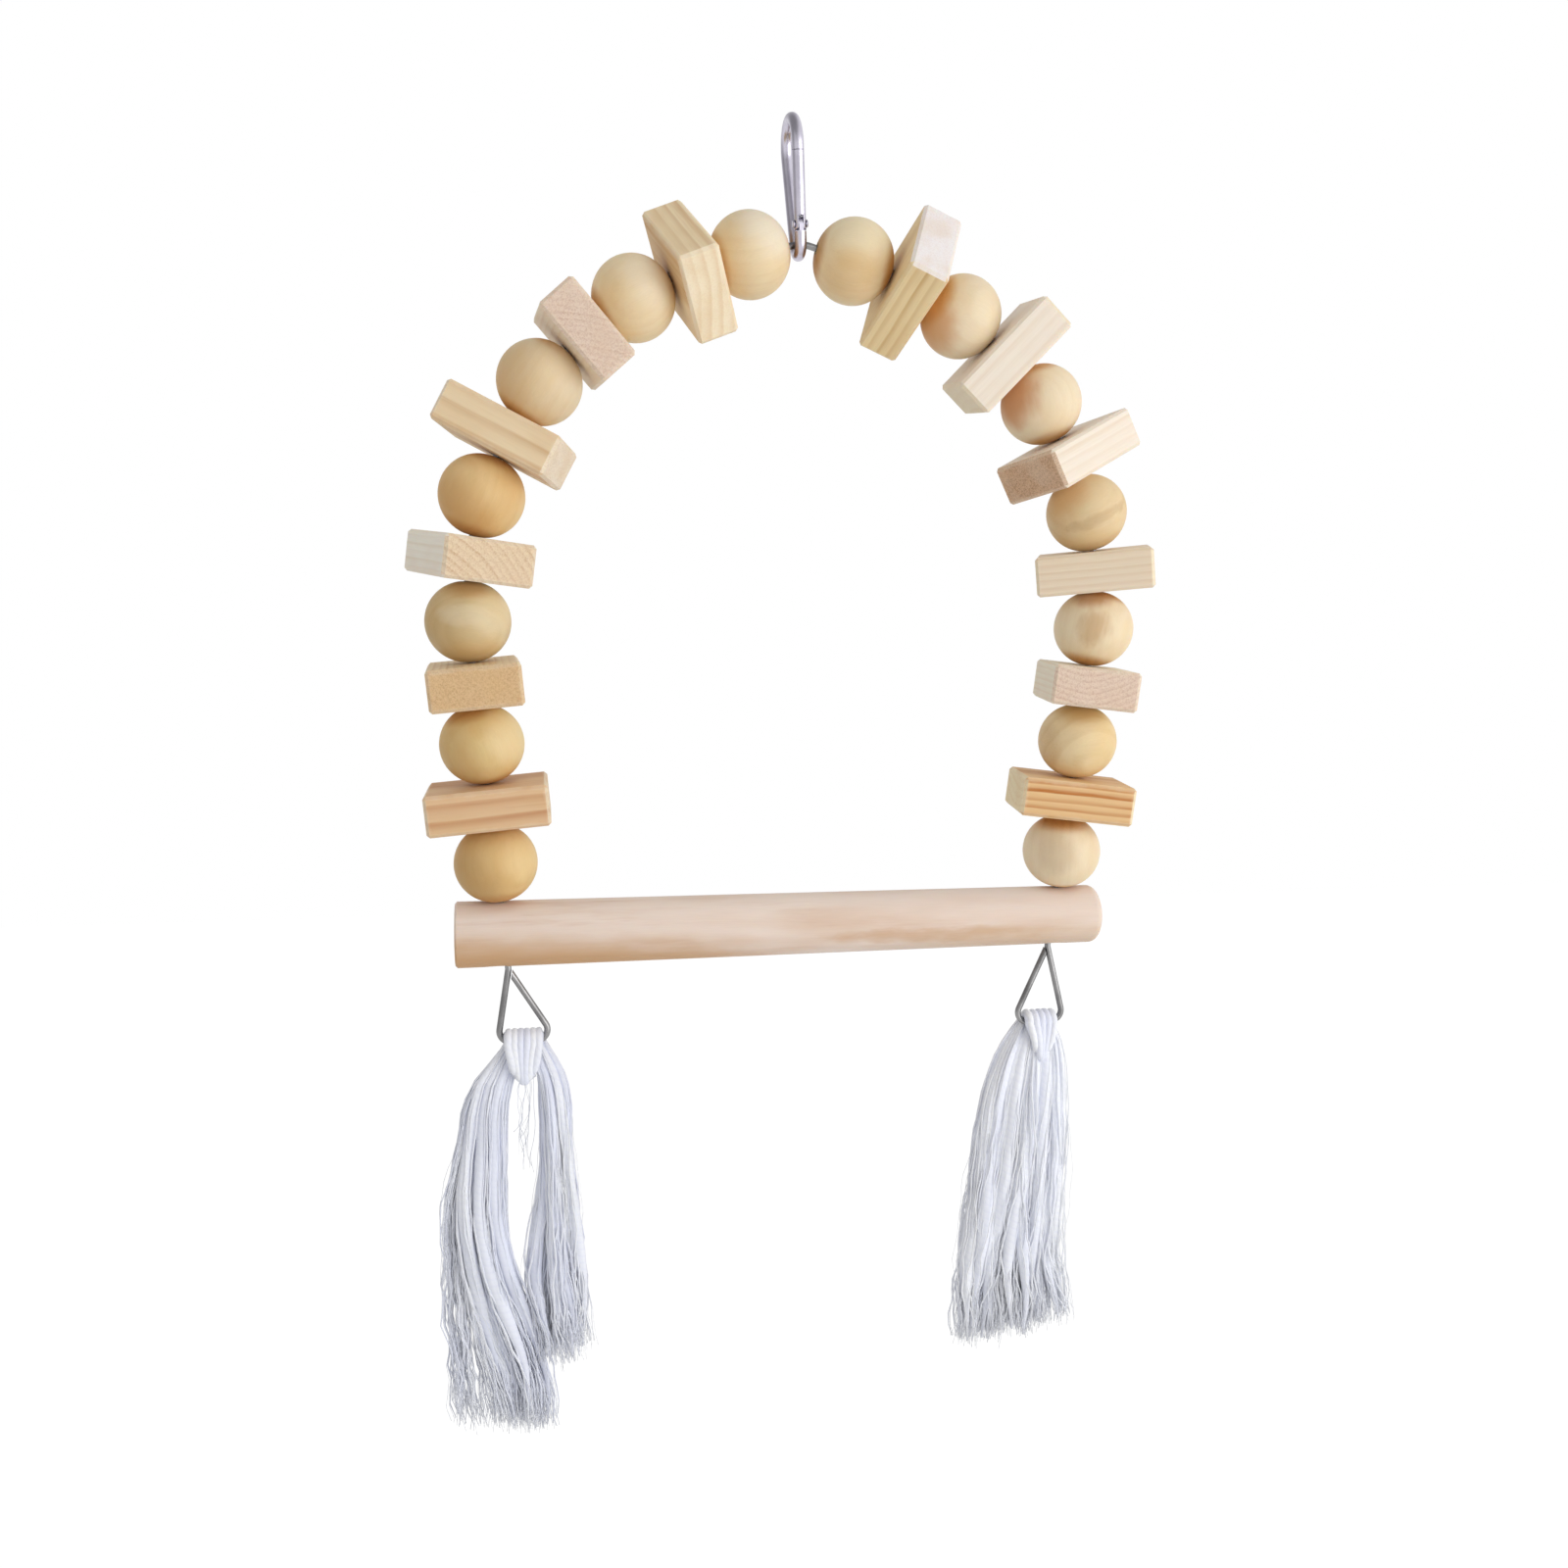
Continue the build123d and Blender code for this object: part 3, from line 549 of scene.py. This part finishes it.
# On the beads, most pale spots on the upper or right side are painted highlights, and most dark ones on the
# lower or left side, or at the top under a block, are painted shade
bead_looks = {
    "left_bead_1": dict(bead_wood, spots=(tone_and_light_spot((0.4, -0.7, 0.55), (246, 235, 216), 60, 10, 0.65, 0.2),)),
    "left_bead_2": dict(bead_wood, spots=(tone_and_light_spot((0.4, -0.8, 0.4), (247, 233, 208), 55, 10, 0.6),)),
    "left_bead_3": dict(bead_wood, pale=(231, 210, 174), spots=(
        tone_and_light_spot(lit_side, (244, 228, 200), 55, 10, 0.5),
        tone_and_light_spot((-0.8, -0.55, 0.15), (214, 172, 112), 60, 15, 0.5, 0.15),
    )),
    "left_bead_4": dict(warm_bead, spots=(tone_and_light_spot(shaded_side, (196, 140, 74), 70, 20, 0.5),)),
    "left_bead_5": dict(
        bead_wood, pale=(215, 191, 146), dark=(182, 150, 98), contrast=0.2, grain=(1.0, 0.1, -0.15),
        end_pale=(206, 180, 134), end_dark=(182, 150, 98), spots=(
            tone_and_light_spot(lit_side, (240, 220, 178), 55, 10, 0.6),
            tone_and_light_spot(shaded_side, (196, 158, 100), 60, 20, 0.4),
            tone_and_light_spot((0.14, -0.96, 0.16), (232, 217, 186), 22, 0, 0.42, 0.12, broad_streak),
            tone_and_light_spot((0.0, -0.45, 0.88), (196, 146, 82), 36, 8, 0.6, 0.15),
        ),
    ),
    "left_bead_6": dict(warm_bead, pale=(226, 198, 140), spots=(
        tone_and_light_spot(lit_side, (243, 220, 172), 55, 10, 0.6),
        tone_and_light_spot(shaded_side, (196, 148, 88), 60, 20, 0.4),
    )),
    "left_bead_7": dict(warm_bead, pale=(222, 188, 131), spots=(
        tone_and_light_spot(lit_side, (242, 214, 158), 50, 10, 0.6),
        tone_and_light_spot(shaded_side, (184, 138, 80), 65, 20, 0.5),
    )),
    "right_bead_1": dict(bead_wood, spots=(
        tone_and_light_spot((0.1, -0.75, 0.6), (240, 226, 192), 60, 10, 0.55, 0.2),
        tone_and_light_spot((-0.2, -0.8, -0.55), (220, 176, 112), 50, 10, 0.4, 0.2),
    )),
    "right_bead_2": dict(pale_bead, spots=(tone_and_light_spot((-0.9, -0.3, -0.3), (214, 150, 90), 60, 10, 0.7),)),
    "right_bead_3": dict(pale_bead, spots=(tone_and_light_spot((-0.95, -0.3, 0.15), (204, 136, 80), 62, 15, 0.8),)),
    "right_bead_4": dict(
        bead_wood, pale=(230, 206, 164), spacing=4.2, grain=(1.0, 0.1, 0.25),
        end_pale=(226, 198, 154), end_dark=(204, 170, 120), spots=(
            tone_and_light_spot((0.0, -0.79, -0.12), (182, 140, 90), 15, 0, 0.36, 0.1, long_streak),
            tone_and_light_spot((-0.85, -0.4, 0.4), (216, 164, 102), 48, 8, 0.55, 0.15),
        ),
    ),
    "right_bead_5": dict(pale_bead, spots=(
        tone_and_light_spot((-0.4, -0.9, 0.08), (200, 160, 108), 34, 5, 0.6),
        tone_and_light_spot((-0.25, -0.4, 0.88), (194, 138, 84), 36, 8, 0.7, 0.15),
    )),
    "right_bead_6": dict(
        pale_bead, pale=(238, 215, 172), dark=(206, 170, 112), contrast=0.34, spacing=4.4,
        grain=(1.0, 0.2, 0.05), end_pale=(226, 198, 154), end_dark=(204, 170, 120), spots=(
            tone_and_light_spot((0.9, -0.5, 0.0), (228, 196, 132), 75, 45, 0.35),
            tone_and_light_spot((-0.1, -0.4, 0.9), (204, 156, 86), 42, 10, 0.7, 0.15),
        ),
    ),
    "right_bead_7": dict(pale_bead, spots=(tone_and_light_spot((-0.5, -0.85, 0.05), (200, 170, 136), 40, 8, 0.4, 0.2),)),
}
# Perch spots: the broad warm tan ones on its lower side are painted shade, and the pale one on its upper
# right is a painted highlight
perch_look = dict(perch_wood, spots=(
    tone_and_light_spot((-0.7, -0.34, -0.62), (208, 158, 104), 54, 4, 0.9, 0.12, along_perch),
    tone_and_light_spot((-0.7, -0.66, -0.3), (206, 166, 124), 44, 4, 0.5, 0.15, along_perch),
    tone_and_light_spot((0.36, -0.9, -0.24), (204, 160, 116), 20, 0, 0.6, 0.1, along_perch),
    tone_and_light_spot((0.75, -0.5, -0.4), (216, 184, 150), 44, 6, 0.5, 0.15, along_perch),
    tone_and_light_spot((0.75, -0.3, 0.6), (240, 226, 216), 60, 20, 0.5, 0.15, along_perch),
))

for node, look in bead_looks.items():
    order = int(node[-1]) + (right_bead_order if node.startswith("right") else 0)
    dress(node, wood(f"{node}_wood", middle(node), bead_axes(node, order, look), look))
for node, look in block_looks.items():
    dress(node, wood(f"{node}_wood", middle(node), block_axes(node), look, block_half))
dress("perch", wood("perch_wood", middle("perch"), Matrix.Identity(3), perch_look))

nickel = metal("nickel", (204, 200, 213), (184, 180, 194), 0.3, (900.0, 900.0, 300.0))
works_steel = metal("works_steel", (196, 196, 200), (160, 160, 166), 0.28, (1500.0, 1500.0, 500.0))
wire_steel = metal("wire_steel", (150, 149, 149), (122, 121, 121), 0.3, (1600.0, 1600.0, 400.0))
for node in ("clip_body", "clip_gate", "gate_rivet"):
    dress(node, nickel)
for node in ("gate_plunger", "gate_spring"):
    dress(node, works_steel)
dress("wire_frame", wire_steel)
cotton = yarn("cotton")


def along(rows, drops):
    """Values at the given drops on a smooth line through a table's rows, the first column its drops."""
    rows = np.array(rows)
    stations = rows[:, 0]
    values = rows[:, 1:]
    slopes = np.gradient(values, stations, axis=0)
    start = np.clip(np.searchsorted(stations, drops) - 1, 0, len(stations) - 2)
    span = (stations[start + 1] - stations[start])[:, None]
    part = (drops - stations[start])[:, None] / span
    ease = 3 * part**2 - 2 * part**3
    lead = part * (1 - part) ** 2 * span * slopes[start]
    tail = part**2 * (part - 1) * span * slopes[start + 1]
    return values[start] * (1 - ease) + values[start + 1] * ease + lead + tail


def spiral(count):
    """Evenly spread places in a unit circle."""
    order = np.arange(count)
    reach = np.sqrt((order + 0.5) / count)
    return np.stack([reach * np.cos(order * golden_angle), reach * np.sin(order * golden_angle)], axis=1)


def wander(generator, shares, waves, rise):
    """A smooth sideways line that starts at 0 and strays further towards the end."""
    line = np.zeros_like(shares)
    for count in waves:
        phase = generator.random()
        size = generator.uniform(-wander_size, wander_size)
        line += np.sin(2 * math.pi * (count * shares + phase)) * size / len(waves)
    return rise * shares**wander_power * (line - line[0])


def lock_line(generator, leg, place, shares):
    """A lock's middle line: its x and y, its drop and its reach at each share of its length."""
    first, last = leg["rows"][0][0], leg["rows"][-1][0]
    slant = leg["hem_slant"] * (1 - math.copysign(1, leg["hem_slant"]) * place[0]) / 2
    end = last - abs(generator.normal(0, leg["hem"])) - abs(slant)
    drops = first + (end - first) * shares
    low, high, y, depth = along(leg["rows"], drops).T
    turn = math.radians(leg["turn_deg"]) * shares
    x = (low + high) / 2 + (high - low) / 2 * (place[0] * np.cos(turn) - place[1] * np.sin(turn))
    y = y + depth * (place[0] * np.sin(turn) + place[1] * np.cos(turn))
    x = x + wander(generator, shares, lock_waves, leg["sway"])
    y = y + wander(generator, shares, lock_waves, leg["sway"])
    reach = leg["fill"] * np.sqrt((high - low) / 2 * depth / leg["locks"]) * (1 - leg["gather"] * shares)
    return x, y, drops, reach


def leg_strands(generator, hitch, leg):
    """Locks of one leg, fanned between its edges: a soft core each, with strands laid round it."""
    cores, strands = [], []
    first, last = leg["rows"][0][0], leg["rows"][-1][0]
    shares = np.linspace(0, 1, yarn_points)
    thinning = 1 - tip_thinning * np.clip(shares * tip_parts - (tip_parts - 1), 0, 1)
    taper = np.clip((1 - shares) / core_taper_share, core_tip_share, 1) ** core_taper_power
    inset = 1 - lock_inset_share * leg["fill"] / math.sqrt(leg["locks"])
    places = spiral(leg["locks"]) * inset + generator.normal(0, lock_scatter, (leg["locks"], 2))
    for place in places:
        x, y, drops, reach = lock_line(generator, leg, place, shares)
        tone = leg["tone"] + generator.uniform(0, lock_tone_spread)
        if leg["core"]:
            points = np.stack([x, y, -first - (drops - first) * leg["core"]], axis=1) * mm + np.array(hitch)
            cores.append((points, core_fill_share * reach * taper * mm, tone, core_sides))
        twist = generator.normal(0, leg["twist"])
        for angle in generator.uniform(0, 2 * math.pi, leg["strands"]):
            turns = angle + twist * shares
            out = reach * generator.uniform(*strand_reach)
            away = [wander(generator, shares, strand_waves, leg["stray"]) for _ in range(2)]
            curl = leg["crimp"] * shares * np.sin(2 * math.pi * (drops / crimp_length + generator.random()))
            across = x + out * np.cos(turns) + away[0] + curl
            through = y + out * np.sin(turns) + away[1]
            z = -first - (drops - first) * (1 - abs(generator.normal(0, leg["hem"] / 2)) / last)
            points = np.stack([across, through, z], axis=1) * mm + np.array(hitch)
            radii = leg["diameter"] / 2 * generator.uniform(*strand_thickness) * thinning
            strands.append((points, radii, tone + generator.uniform(0, strand_tone_spread), yarn_sides))
    return cores, strands


def frayed_ends(generator, strands):
    """Thin fibres that open out from the end of each strand."""
    fibres = []
    for points, _, _, _ in strands:
        first = len(points) - int(generator.integers(*fray_points))
        fibre = points[first:].copy()
        reach = np.linspace(0, 1, len(fibre))[:, None] ** fray_power
        spread = generator.normal(0, fray_spread, 3) * fray_shares
        fibre += reach * (spread - np.array((0, 0, generator.uniform(0, fray_length))))
        radii = np.full(len(fibre), fibre_diameter / 2)
        fibres.append((fibre, radii, generator.uniform(*fray_tone), fibre_sides))
    return fibres


def loose_fibres(generator, strands, count):
    """Single fibres that stand a little off the strands and make the leg's edges soft."""
    fibres = []
    for _ in range(count):
        points, _, _, _ = strands[int(generator.integers(len(strands)))]
        first = int(generator.integers(loose_first, yarn_points - loose_points - loose_margin))
        fibre = points[first:first + loose_points].copy()
        reach = np.sin(np.linspace(loose_start_angle, math.pi, len(fibre)))[:, None]
        fibre += reach * generator.normal(0, loose_spread, 3) * loose_shares
        fibres.append((fibre, np.full(len(fibre), fibre_diameter / 2), loose_tone, fibre_sides))
    return fibres


def band_strands(generator, hitch, width, drop, narrowing, count):
    """The bight of the hitch: strands from behind, over the eye's base and down the front."""
    strands = []
    turn = np.linspace(band_turn_start, math.pi, band_turn_points)
    front = np.linspace(0, 1, band_front_points)[1:]
    for layer in range(band_layers):
        radius = band_radius + band_layer_step * layer
        for place in np.linspace(-1, 1, count - layer):
            low = drop * (1 - band_point_share * place**2) - band_inner_rise * (1 - layer)
            belly = band_belly * np.sin(front * math.pi * band_belly_share)
            y = np.concatenate([radius * np.cos(turn), -radius - belly, -radius + band_tuck_back])
            z = np.concatenate([radius * np.sin(turn), -low * front, -low - band_tuck_down])
            narrow = 1 - narrowing * np.clip(-z / drop, 0, 1) * (y < 0)
            x = width / 2 * place * narrow * (1 - band_layer_narrowing * layer)
            wobble = np.linspace(0, band_wobble_turn, len(z)) + generator.uniform(0, band_wobble_phase)
            x = x + band_wobble * np.sin(wobble)
            y = y - generator.uniform(0, band_scatter)
            points = np.stack([x, y, z], axis=1) + np.array(hitch)
            radii = np.full(len(points), band_diameter / 2)
            strands.append((points, radii, generator.uniform(0.0, 1.0), core_sides))
    return strands


def tube_mesh(name, strands):
    """One mesh of thin tubes, closed at both ends, with each strand's length and turn as its map."""
    vertices, faces, maps, tones = [], [], [], []
    for points, radii, tone, sides in strands:
        first = len(vertices)
        heading = np.gradient(points, axis=0)
        heading /= np.linalg.norm(heading, axis=1)[:, None]
        sideways = np.array((1.0, 0, 0)) - heading[:, :1] * heading
        sideways /= np.linalg.norm(sideways, axis=1)[:, None]
        outward = np.cross(heading, sideways)
        steps = np.linalg.norm(np.diff(points, axis=0), axis=1)
        lengths = np.concatenate([[0], np.cumsum(steps)]) / yarn_lay
        for ring in range(len(points)):
            for corner in range(sides):
                angle = 2 * math.pi * corner / sides
                offset = math.cos(angle) * sideways[ring] + math.sin(angle) * outward[ring]
                vertices.append(points[ring] + radii[ring] * offset)
        tones.extend([tone] * (len(points) * sides))
        for ring in range(len(points) - 1):
            for corner in range(sides):
                near, far = first + ring * sides, first + (ring + 1) * sides
                turned = (corner + 1) % sides
                faces.append((near + corner, near + turned, far + turned, far + corner))
                low, high = corner / sides, (corner + 1) / sides
                here, there = lengths[ring], lengths[ring + 1]
                maps.extend([(here, low), (here, high), (there, high), (there, low)])
        last = first + (len(points) - 1) * sides
        faces.append(tuple(first + corner for corner in reversed(range(sides))))
        faces.append(tuple(last + corner for corner in range(sides)))
        maps.extend([(0, 0)] * sides + [(lengths[-1], 0)] * sides)
    mesh = bpy.data.meshes.new(name)
    mesh.from_pydata(vertices, [], faces)
    mesh.uv_layers.new(name="strand").data.foreach_set("uv", np.array(maps, dtype=float).ravel())
    mesh.attributes.new("tone", "FLOAT", "POINT").data.foreach_set("value", np.array(tones))
    mesh.shade_smooth()
    return mesh


def tassel(side, seed, legs, band):
    """One tassel of loose yarn in place of its CAD solid."""
    generator = np.random.default_rng(seed)
    hitch = joints[f"{side}_tassel_swing"]["pos_m"]
    strands = []
    for leg in legs:
        cores, found = leg_strands(generator, hitch, leg)
        strands += cores + found
        strands += frayed_ends(generator, found)
        strands += loose_fibres(generator, found, leg["loose"])
    strands += band_strands(generator, hitch, **band)
    name = f"{side}_tassel_yarn"
    piece = bpy.data.objects.new(name, tube_mesh(name, strands))
    bpy.context.scene.collection.objects.link(piece)
    piece.data.materials.append(cotton)
    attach(piece, f"{side}_tassel")
    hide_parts(f"{side}_tassel")


# Rows of a leg: drop below the eye's base, left and right edge, place behind, half its depth, in millimetres
outer_leg = (
    (-1.0, -4.0, 0.4, 3.6, 1.4), (6.0, -9.0, -1.0, 2.6, 2.6), (12.0, -14.4, -2.6, 1.0, 3.8),
    (18.0, -16.6, -4.0, 0.0, 4.6), (34.0, -19.4, -4.6, 0.0, 5.6), (55.0, -22.0, -5.0, 0.0, 6.2),
    (75.0, -21.5, -2.0, 0.0, 6.6), (95.0, -18.4, 4.0, 0.0, 6.6), (112.0, -14.4, 8.6, 0.0, 6.2),
    (134.0, -12.0, 10.6, 0.0, 5.0),
)
ragged_leg = (
    (-1.0, -4.2, -2.6, 3.8, 0.8), (6.0, -8.8, -6.0, 3.0, 1.4), (12.0, -14.4, -10.0, 1.4, 2.2),
    (34.0, -21.0, -15.5, 0.0, 3.0), (55.0, -25.6, -18.5, 0.0, 3.6), (75.0, -26.8, -16.0, 0.0, 4.0),
    (95.0, -26.4, -13.0, 0.0, 4.0), (112.0, -25.0, -12.0, 0.0, 3.6), (131.0, -23.0, -11.0, 0.0, 3.2),
)
inner_leg = (
    (-1.0, 0.2, 5.4, 3.6, 1.6), (6.0, 2.0, 9.4, 2.6, 2.8), (12.0, 3.8, 12.4, 1.0, 3.8),
    (20.0, 4.6, 14.0, 0.0, 4.8), (38.0, 4.2, 15.4, 0.0, 5.6), (55.0, 2.8, 17.4, 0.0, 6.0),
    (80.0, -1.0, 20.4, 0.0, 6.4), (108.0, -0.6, 21.4, 0.0, 5.2),
)
haze_leg = (
    (9.0, -2.0, 3.4, 1.0, 2.0), (20.0, -3.6, 4.0, 0.4, 2.6), (36.0, -4.0, 3.4, 0.4, 2.6),
    (46.0, -3.6, 2.4, 0.4, 2.4),
)
skirt = (
    (-1.0, -5.0, 4.8, 3.6, 1.8), (5.0, -10.6, 8.4, 2.2, 3.4), (12.0, -15.4, 10.4, 1.0, 4.6),
    (18.0, -18.2, 11.0, 0.0, 5.2), (36.0, -21.8, 12.0, 0.0, 6.4), (66.0, -25.6, 12.4, 0.0, 7.0),
    (84.0, -27.0, 13.0, 0.0, 6.8), (98.0, -27.8, 16.4, 0.0, 6.0), (115.0, -28.4, 19.0, 0.0, 5.0),
)
# Looks of a leg: counts, shares of a lock's length or reach, and hem, sway, stray and crimp in millimetres
plain_leg = dict(
    strands=15, locks=15, core=0.95, fill=1.35, hem=2.4, hem_slant=0.0, gather=0.2, turn_deg=0.0,
    twist=2.2, tone=0.0, sway=2.2, stray=1.7, crimp=0.4, diameter=yarn_diameter, loose=160,
)
left_legs = (
    dict(plain_leg, rows=outer_leg, turn_deg=50.0, hem_slant=7.0),
    dict(
        plain_leg, rows=ragged_leg, strands=5, locks=10, core=0, fill=1.0, hem=4.5, gather=0.5,
        sway=2.8, stray=2.2, crimp=0.7, loose=60,
    ),
    dict(plain_leg, rows=inner_leg, turn_deg=80.0, hem=3.4, hem_slant=-3.0),
    dict(
        plain_leg, rows=haze_leg, strands=1, locks=9, core=0, hem=9.0, stray=0.7, crimp=0.05,
        diameter=fibre_diameter, loose=0,
    ),
)
right_legs = (
    dict(
        plain_leg, rows=skirt, strands=14, locks=36, core=1.0, fill=1.6, hem_slant=-8.0, crimp=0.5,
        loose=300, tone=0.4,
    ),
)
tassel("left", 11, left_legs, dict(width=10.0 * mm, drop=11.5 * mm, narrowing=0.5, count=7))
tassel("right", 21, right_legs, dict(width=9.0 * mm, drop=11.5 * mm, narrowing=0.8, count=6))


def lamp(name, place, target, size, watts):
    """A square soft lamp that looks at a point."""
    data = bpy.data.lights.new(name, "AREA")
    data.size = size
    data.energy = watts
    light = bpy.data.objects.new(name, data)
    light.location = place
    light.rotation_euler = (target - place).to_track_quat("-Z", "Y").to_euler()
    bpy.context.scene.collection.objects.link(light)


def seen_white(shader):
    """1 for what the camera sees by itself, in metal or through glass."""
    rays = shader.node("LightPath", {})
    seen = shader.math("MAXIMUM", rays.outputs["Is Camera Ray"], rays.outputs["Is Glossy Ray"])
    return shader.math("MAXIMUM", seen, rays.outputs["Is Transmission Ray"])


def white_floor():
    """A pale floor well below, white to the camera, that keeps the object's shadow."""
    half = floor_size / 2
    corners = [(-half, -half, floor_height), (half, -half, floor_height)]
    corners += [(half, half, floor_height), (-half, half, floor_height)]
    mesh = bpy.data.meshes.new("floor")
    mesh.from_pydata(corners, [], [(0, 1, 2, 3)])
    floor = bpy.data.objects.new("floor", mesh)
    bpy.context.scene.collection.objects.link(floor)
    shader = Shader.material("floor_paint")
    level = floor_colour_level
    shader.finish(Base_Color=(level, level, level, 1), Roughness=floor_roughness)
    glow = shader.node("Emission", {"Strength": floor_white})
    share = shader.math("MULTIPLY", seen_white(shader), floor_white_share)
    blend = shader.node("MixShader", {0: share, 1: shader.surface.outputs[0], 2: glow.outputs[0]})
    output = shader.tree.nodes["Material Output"]
    shader.put(output.inputs["Surface"], blend.outputs[0])
    mesh.materials.append(shader.owner)


def white_room():
    """A room that lights softly and is seen as white, dimmer in gloss towards its upper left."""
    world = bpy.data.worlds.new("room")
    bpy.context.scene.world = world
    shader = Shader(world, "Background")
    direction = shader.node("TexCoord", {}).outputs["Generated"]
    side = shader.vector("DOT_PRODUCT", direction, tuple(dim_side))
    dimming = shader.step(side, *dim_range, 0.0, 1 - dim_level)
    rays = shader.node("LightPath", {})
    dimming = shader.math("MULTIPLY", dimming, rays.outputs["Is Glossy Ray"])
    up = shader.node("SeparateXYZ", {0: direction}).outputs[2]
    light = shader.line(up, room_light * room_lift, room_light)
    level = shader.between(seen_white(shader), light, shader.math("SUBTRACT", 1.0, dimming))
    shader.finish(Color=(1, 1, 1, 1), Strength=level)


middle_of_swing = (cad_box[0] + cad_box[1]) / 2
lamp("key", key_place, middle_of_swing, key_size, key_watts)
lamp("fill", fill_place, middle_of_swing, fill_size, fill_watts)
white_floor()
white_room()

# The last quarter turn stands the camera up, as it looks down when it is made
camera_data = bpy.data.cameras.new("camera")
camera_data.lens = camera_lens
camera_data.sensor_width = camera_sensor
camera = bpy.data.objects.new("camera", camera_data)
bpy.context.scene.collection.objects.link(camera)
camera.matrix_world = (
    Matrix.Translation(camera_place)
    @ Matrix.Rotation(math.radians(camera_heading_deg), 4, "Z")
    @ Matrix.Rotation(math.radians(camera_tilt_deg), 4, "X")
    @ Matrix.Rotation(math.radians(camera_roll_deg), 4, "Y")
    @ Matrix.Rotation(math.radians(90), 4, "X")
)
bpy.context.scene.camera = camera
bpy.context.scene.view_settings.view_transform = "Standard"
